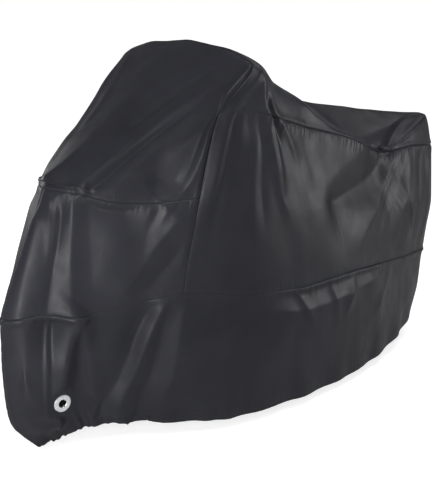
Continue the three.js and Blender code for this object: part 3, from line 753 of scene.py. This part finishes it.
for side, ring_span in ((LEFT, (0, LAST)), (RIGHT, (LAST, RING))):
    skirt = Panel(ring_span, (MID, HEM))
    skirt.hang()
    ring = np.minimum(skirt.ring, RING - skirt.ring)
    # Full under the nose, slight along the flank, and a little stronger again at the back
    gathered = 1 - 0.93 * smooth(ring, 1.8, 3.6) + 0.3 * smooth(ring, 9.8, 11)
    # Full at the front and behind, and slight where the cloth is drawn tight between them
    ledge = 0.15 + 0.85 * (1 - smooth(ring, 1.9, 2.4) + smooth(ring, 5.5, 6.2))
    skirt.raise_by(seam_edge(skirt.from_top, skirt.along, 5, 8, pucker=1.3, pitch=38, reach=30,
                             share=ledge, roll=0.15)
                   + seam_edge(skirt.from_side, skirt.down, 2, 9, pucker=0.8, pitch=40)
                   + sum(gathered * gathers(skirt.along + shift, skirt.from_bottom, *folds)
                         for shift, *folds in HEM_GATHERS))
    skirt.turn_up()
    skirt.from_top = np.minimum(skirt.from_top, abs(skirt.from_bottom - HEM_DEPTH) + STITCH_ROWS[0])
    roll_hem(skirt)
    middle = eyelet_seats[side][0]
    laid = sheet_of(skirt, "cover_skirt_" + side,
                    opening=lambda spots: np.linalg.norm(spots - middle, axis=1) < EYELET_OPENING)
    hand_over(laid, "skirt_" + side)

# ---------------------------------------------------------------------------
# Eyelets. A plated eyelet is clamped through each skirt, low beside the wheel, for the shackle or
# cable of a lock. Its front flange is domed and rolled down to the cloth at its rim, its barrel
# goes through, and a plain washer holds it from behind.

EYELET_NODES = {LEFT: "eyelet_left", RIGHT: "eyelet_right"}
# Radius and height above the middle of the cloth, round the eyelet's wall, in millimetres: up
# the barrel, out over the flange, back under it to the washer, and round the washer
EYELET_PROFILE = ((13.0, -0.6), (13.0, 1.6), (13.4, 2.7), (14.4, 3.4), (16.2, 3.7), (20.0, 3.6),
                  (24.5, 3.2), (27.4, 2.6), (28.8, 1.7), (29.0, 0.8), (28.2, 0.5), (20.0, 0.6),
                  (15.2, 0.6), (15.2, -0.6), (20.0, -0.6), (26.6, -0.6), (27.2, -1.2), (26.4, -1.9),
                  (18.0, -2.3), (14.6, -2.4), (13.4, -2.0))
EYELET_SEGMENTS = 96
EYELET_SHARP = np.radians(40)    # edges sharper than this stay crisp
MERGE_WITHIN = 0.02 * MM


def loose_eyelet():
    """An eyelet on its back, made from its profile by drawing a circle of edges out and back."""
    radius, height = EYELET_PROFILE[0]
    bpy.ops.object.select_all(action="DESELECT")
    bpy.ops.mesh.primitive_circle_add(vertices=EYELET_SEGMENTS, radius=radius * MM,
                                      location=(0, 0, height * MM))
    ring = bpy.context.object
    bpy.ops.object.transform_apply()
    bpy.ops.object.mode_set(mode="EDIT")
    for next_radius, next_height in EYELET_PROFILE[1:] + EYELET_PROFILE[:1]:
        bpy.ops.mesh.extrude_edges_move(
            TRANSFORM_OT_translate={"value": (0, 0, (next_height - height) * MM)})
        ratio = next_radius / radius
        bpy.ops.transform.resize(value=(ratio, ratio, 1), center_override=(0, 0, 0))
        radius, height = next_radius, next_height
    bpy.ops.mesh.select_all(action="SELECT")
    bpy.ops.mesh.remove_doubles(threshold=MERGE_WITHIN)
    bpy.ops.mesh.normals_make_consistent(inside=False)
    bpy.ops.object.mode_set(mode="OBJECT")
    bpy.ops.object.shade_smooth_by_angle(angle=EYELET_SHARP)
    return ring


def clamp_in(loose, name, seat, way):
    """A copy of the eyelet with its own mesh, set on the cloth and turned to face out of it."""
    ring = loose.copy()
    ring.data = loose.data.copy()
    ring.name = name
    bpy.context.collection.objects.link(ring)
    ring.rotation_euler = Vector(way).to_track_quat("Z", "Y").to_euler()
    ring.location = seat
    bpy.ops.object.select_all(action="DESELECT")
    bpy.context.view_layer.objects.active = ring
    ring.select_set(True)
    bpy.ops.object.transform_apply()
    return ring


# Nickel plating: bright, with fine scuffs and a little handling haze.
NICKEL_BRIGHT = (0.86, 0.87, 0.88, 1)
NICKEL_HAZED = (0.74, 0.75, 0.78, 1)
NICKEL_GLOSS = (0.2, 0.36)       # roughness, from polished to scuffed
HAZE = (90, 4, 0.6)
HAZY = (0.35, 0.7)               # the part of that noise where the haze comes on
SCUFFS = (700, 3, 0.7)
SCUFF_RELIEF = (0.15, 0.1 * MM)


def eyelet_plating():
    plating = Nodes("eyelet_plating")
    place = plating.add("TexCoord").outputs["Object"]
    haze = plating.map(plating.noise(place, *HAZE), *HAZY, 0, 1)
    scuffs = plating.noise(place, *SCUFFS)
    colour = plating.blend(haze, NICKEL_BRIGHT, NICKEL_HAZED)
    plating.join(colour, plating.shader.inputs["Base Color"])
    gloss = plating.map(scuffs, *MIDDLE_GREYS, *NICKEL_GLOSS)
    plating.join(gloss, plating.shader.inputs["Roughness"])
    plating.join(plating.bump(scuffs, *SCUFF_RELIEF), plating.shader.inputs["Normal"])
    plating.shader.inputs["Metallic"].default_value = 1.0
    return plating.material


plating_finish = eyelet_plating()
eyelet = loose_eyelet()
for side, (seat, way) in eyelet_seats.items():
    ring = clamp_in(eyelet, "lock_eyelet_" + side, seat, way)
    ring.data.materials.append(plating_finish)
    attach(ring, "root")
    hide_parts(EYELET_NODES[side])
bpy.data.objects.remove(eyelet)

# ---------------------------------------------------------------------------
# Stage. A plain pale floor lies under the cover, in a light room with five soft lamps, and the
# camera stands in front of the left side. None of it belongs to the cover.

FLOOR_DROP = 1 * MM              # below the cover's lowest point
FLOOR_SIZE = 40
bpy.ops.object.select_all(action="DESELECT")
floor_place = (0, 0, cad_box[0][2] - FLOOR_DROP)
bpy.ops.mesh.primitive_plane_add(size=FLOOR_SIZE, location=floor_place)
floor = bpy.context.object
floor.name = "studio_floor"

FLOOR_SHADE = (0.5, 0.5, 0.5, 1)
FLOOR_GLOW = 0.78                # how far the floor is lifted to white where it is seen
FLOOR_FADE = (1.6, 4.2)          # it turns wholly white this far out from the cover
FLOOR_MIRRORED = 0.3             # how much of that a mirror shows
MIRRORED = ("Is Glossy Ray", "Is Transmission Ray")


def ray_is(tree, *kinds):
    """1 for rays of these kinds, such as what the camera or a mirror shows, and 0 for the rest."""
    path = tree.nodes.new("ShaderNodeLightPath")
    value = path.outputs[kinds[0]]
    for kind in kinds[1:]:
        either = tree.nodes.new("ShaderNodeMath")
        either.operation = "MAXIMUM"
        tree.links.new(value, either.inputs[0])
        tree.links.new(path.outputs[kind], either.inputs[1])
        value = either.outputs[0]
    return value


def pale_floor():
    """A pale floor that shows white, and keeps the cover's soft shadow."""
    pale = Nodes("pale_floor")
    seen = pale.math("MAXIMUM", ray_is(pale.tree, "Is Camera Ray"),
                     pale.math("MULTIPLY", ray_is(pale.tree, *MIRRORED), FLOOR_MIRRORED))
    place = pale.add("SeparateXYZ", {"Vector": pale.add("TexCoord").outputs["Object"]})
    off_x = pale.math("MULTIPLY", place.outputs["X"], place.outputs["X"])
    off_y = pale.math("MULTIPLY", place.outputs["Y"], place.outputs["Y"])
    radius = pale.math("SQRT", pale.math("ADD", off_x, off_y))
    glow = pale.map(radius, *FLOOR_FADE, FLOOR_GLOW, 1.0)
    pale.join(pale.math("MULTIPLY", seen, glow), pale.shader.inputs["Emission Strength"])
    pale.shader.inputs["Emission Color"].default_value = (1, 1, 1, 1)
    pale.shader.inputs["Base Color"].default_value = FLOOR_SHADE
    pale.shader.inputs["Roughness"].default_value = 0.9
    pale.shader.inputs["Specular IOR Level"].default_value = 0.0
    return pale.material


floor.data.materials.append(pale_floor())

ROOM_LIGHT = 0.15                # strength of the room's own even light on the cover
world = bpy.data.worlds.new("studio")
bpy.context.scene.world = world
world.use_nodes = True
sky = world.node_tree
room = sky.nodes["Background"]
room.inputs["Color"].default_value = (1, 1, 1, 1)
# A mirror shows the pale walls at its own height, and a darker ceiling high above it.
WALLS = 0.5
CEILING = 0.14
CEILING_RISE = (0.05, 0.32)      # where it begins and is full, as sines of the height angle
way = sky.nodes.new("ShaderNodeSeparateXYZ")
sky.links.new(sky.nodes.new("ShaderNodeTexCoord").outputs["Generated"], way.inputs[0])


def level(value, low, high, span=(0.0, 1.0)):
    """A room brightness that goes from low to high as value goes over its span."""
    node = sky.nodes.new("ShaderNodeMapRange")
    for socket, given in (("Value", value), ("To Min", low), ("To Max", high)):
        if isinstance(given, float):
            node.inputs[socket].default_value = given
        else:
            sky.links.new(given, node.inputs[socket])
    node.inputs["From Min"].default_value, node.inputs["From Max"].default_value = span
    return node.outputs["Result"]


shown = level(way.outputs["Z"], WALLS, CEILING, CEILING_RISE)
shown = level(ray_is(sky, *MIRRORED), ROOM_LIGHT, shown)
shown = level(ray_is(sky, "Is Camera Ray"), shown, 1.0)
sky.links.new(shown, room.inputs["Strength"])

# Each lamp's azimuth from +Y towards +X and its height angle in degrees, its distance and its
# size in metres, and its power in watts
LAMPS = (
    ("lamp_front", 64, 4, 3.2, (0.7, 1.7), 73),
    ("lamp_rear", -58, 7, 3.4, (1.1, 1.3), 30),
    ("lamp_back", -105, 50, 4.0, (2.0, 2.0), 24),
    ("lamp_top", 20, 65, 4.0, (2.0, 2.0), 100),
    ("lamp_right", 162, 14, 4.0, (2.2, 1.6), 50),
)
LAMP_AIM = Vector((0, 0, 0.6))
for name, azimuth, rise, distance, size, power in LAMPS:
    turn, lift = np.radians(azimuth), np.radians(rise)
    way = Vector((np.sin(turn) * np.cos(lift), np.cos(turn) * np.cos(lift), np.sin(lift)))
    light = bpy.data.lights.new(name, "AREA")
    light.shape = "RECTANGLE"
    light.size, light.size_y = size
    light.energy = power
    lamp = bpy.data.objects.new(name, light)
    lamp.location = LAMP_AIM + way * distance
    lamp.rotation_euler = way.to_track_quat("Z", "Y").to_euler()
    lamp.visible_camera = False
    bpy.context.collection.objects.link(lamp)

CAMERA_PLACE = (2.6025, 2.7435, 1.516)
CAMERA_WAY = (-0.6448, -0.7177, -0.2630)
CAMERA_LENS = 79.72              # focal length and width of the film, in millimetres
CAMERA_FILM = 36
camera_data = bpy.data.cameras.new("camera")
camera = bpy.data.objects.new("camera", camera_data)
bpy.context.collection.objects.link(camera)
camera.location = CAMERA_PLACE
camera.rotation_euler = Vector(CAMERA_WAY).to_track_quat("-Z", "Y").to_euler()
camera_data.lens = CAMERA_LENS
camera_data.sensor_width = CAMERA_FILM
bpy.context.scene.camera = camera
bpy.context.scene.view_settings.view_transform = "Standard"
